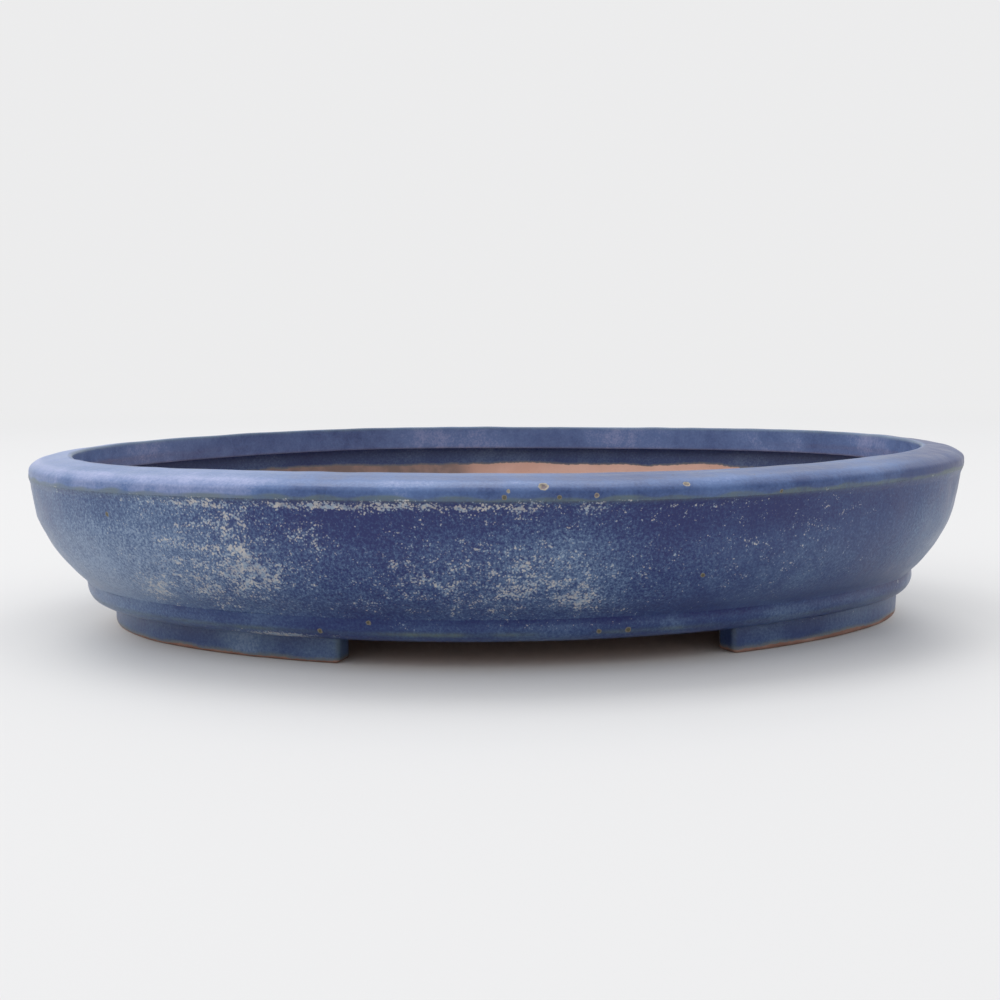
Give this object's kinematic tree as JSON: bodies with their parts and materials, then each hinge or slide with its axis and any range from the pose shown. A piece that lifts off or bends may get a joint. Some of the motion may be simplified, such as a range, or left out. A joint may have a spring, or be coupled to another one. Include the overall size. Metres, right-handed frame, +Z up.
{
  "type": "bonsai pot",
  "caption": "Shallow oval glazed ceramic tray with a wide flat lip, rounded bowl, moulded belt and low C-shaped feet round each end.",
  "frame": {"origin": "on the ground at the middle of the footprint", "axes": "+X along the pot's length, +Y across it towards the back, +Z up"},
  "size_m": [0.3, 0.24, 0.0535],
  "materials": {
    "lip_glaze": "satin blue glaze",
    "bowl_glaze": "satin cobalt glaze with cream crystals",
    "foot_glaze": "satin blue glaze",
    "bare_clay": "unglazed fired clay"
  },
  "bodies": {
    "root": {"rim_lip": "lip_glaze", "bowl_wall": "bowl_glaze", "base_belt": "bowl_glaze", "floor_slab": "bare_clay", "corner_coil": "bare_clay", "foot_left": "foot_glaze", "foot_right": "foot_glaze"}
  },
  "joints": []
}
